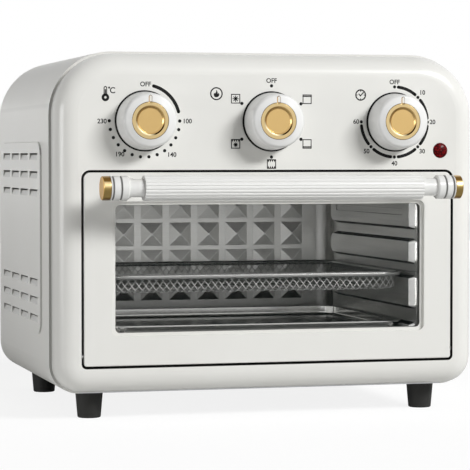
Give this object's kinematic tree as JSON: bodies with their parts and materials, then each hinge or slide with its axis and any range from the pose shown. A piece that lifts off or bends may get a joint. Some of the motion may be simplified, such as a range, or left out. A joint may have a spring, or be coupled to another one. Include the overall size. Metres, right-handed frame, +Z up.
{
  "type": "air fryer oven",
  "caption": "Countertop air fryer oven: rounded cream housing, dials, drop-down glass door with fluted handle, mesh basket and tray.",
  "frame": {"origin": "middle of the overall footprint, on the surface that the feet stand on", "axes": "+Z up, +X to the right seen from the front, +Y from the door to the back panel"},
  "size_m": [0.373, 0.329, 0.307],
  "materials": {
    "cream_plastic": "satin moulded",
    "cream_steel": "fine powder coat",
    "cream_handle": "satin fluted",
    "brass": "satin brushed",
    "foot_rubber": "matt",
    "window_glass": "clear tempered",
    "cavity_steel": "fine brushed",
    "inner_steel": "zinc plated",
    "wire_steel": "bright",
    "tray_steel": "bright rolled",
    "heater_steel": "heat darkened",
    "ceramic": "unglazed ceramic",
    "lamp_red": "translucent gloss",
    "black_plastic": "moulded",
    "screw_steel": "plated",
    "fan_aluminium": "pressed",
    "motor_steel": "laminated core"
  },
  "bodies": {
    "housing": {"front_fascia": "cream_plastic", "housing_wrap": "cream_steel", "base_plate": "inner_steel", "back_panel": "cream_steel", "back_panel_screws": "screw_steel", "cord_gland": "black_plastic", "foot_front_left": "foot_rubber", "foot_front_right": "foot_rubber", "foot_back_left": "foot_rubber", "foot_back_right": "foot_rubber", "foot_screws": "screw_steel", "foot_nuts": "screw_steel", "oven_front_frame": "cavity_steel", "cavity_left_wall": "cavity_steel", "cavity_right_wall": "cavity_steel", "cavity_back_wall": "cavity_steel", "cavity_ceiling": "cavity_steel", "cavity_floor": "cavity_steel", "lower_heater_front": "heater_steel", "lower_heater_back": "heater_steel", "upper_heater_front": "heater_steel", "upper_heater_back": "heater_steel", "heater_ceramics": "ceramic", "fan_drum": "inner_steel", "motor_bracket": "inner_steel", "fan_motor": "motor_steel", "thermostat": "black_plastic", "function_switch": "black_plastic", "timer_clockwork": "black_plastic", "lamp_lens": "lamp_red", "lamp_holder": "black_plastic"},
    "door": {"door_frame": "cream_plastic", "door_glass": "window_glass", "glass_clamp": "cavity_steel", "clamp_screws": "screw_steel", "hinge_pin_left": "screw_steel", "hinge_pin_right": "screw_steel", "hinge_spring_left": "screw_steel", "hinge_spring_right": "screw_steel", "handle_grip": "cream_handle", "handle_bracket_left": "cream_plastic", "handle_bracket_right": "cream_plastic", "handle_cap_left": "brass", "handle_cap_right": "brass", "handle_screws": "screw_steel"},
    "temperature_dial": {"temperature_knob": "cream_plastic", "temperature_inlay": "brass", "temperature_shaft": "screw_steel"},
    "function_dial": {"function_knob": "cream_plastic", "function_inlay": "brass", "function_shaft": "screw_steel"},
    "timer_dial": {"timer_knob": "cream_plastic", "timer_inlay": "brass", "timer_shaft": "screw_steel"},
    "fan": {"fan_impeller": "fan_aluminium", "fan_shaft": "screw_steel"},
    "basket": {"basket_rim": "wire_steel", "basket_mesh": "wire_steel"},
    "tray": {"baking_tray": "tray_steel"}
  },
  "joints": [
    {"name": "door_hinge", "type": "hinge", "parent": "housing", "child": "door", "pos_m": [0, -0.111, 0.0544], "axis": [1, 0, 0], "range_deg": [0, 90], "stiffness_Nm_per_rad": 0.2, "springref_deg": -28.65},
    {"name": "temperature_turn", "type": "hinge", "parent": "housing", "child": "temperature_dial", "pos_m": [-0.10908, -0.1155, 0.2489], "axis": [0, 1, 0], "range_deg": [0, 270]},
    {"name": "function_turn", "type": "hinge", "parent": "housing", "child": "function_dial", "pos_m": [0, -0.1155, 0.2489], "axis": [0, 1, 0], "range_deg": [0, 300]},
    {"name": "timer_turn", "type": "hinge", "parent": "housing", "child": "timer_dial", "pos_m": [0.10908, -0.1155, 0.2489], "axis": [0, 1, 0], "range_deg": [0, 270]},
    {"name": "fan_spin", "type": "hinge", "parent": "housing", "child": "fan", "pos_m": [0, 0.0245, 0.22], "axis": [0, 0, 1], "continuous": true},
    {"name": "basket_slide", "type": "slide", "parent": "housing", "child": "basket", "axis": [0, -1, 0], "range_m": [0, 0.13]},
    {"name": "tray_slide", "type": "slide", "parent": "housing", "child": "tray", "axis": [0, -1, 0], "range_m": [0, 0.042]}
  ],
  "couplings": [
    {"joint": "basket_slide", "follows": "door_hinge", "m_per_rad": 0.08},
    {"joint": "tray_slide", "follows": "door_hinge", "m_per_rad": 0.025}
  ]
}
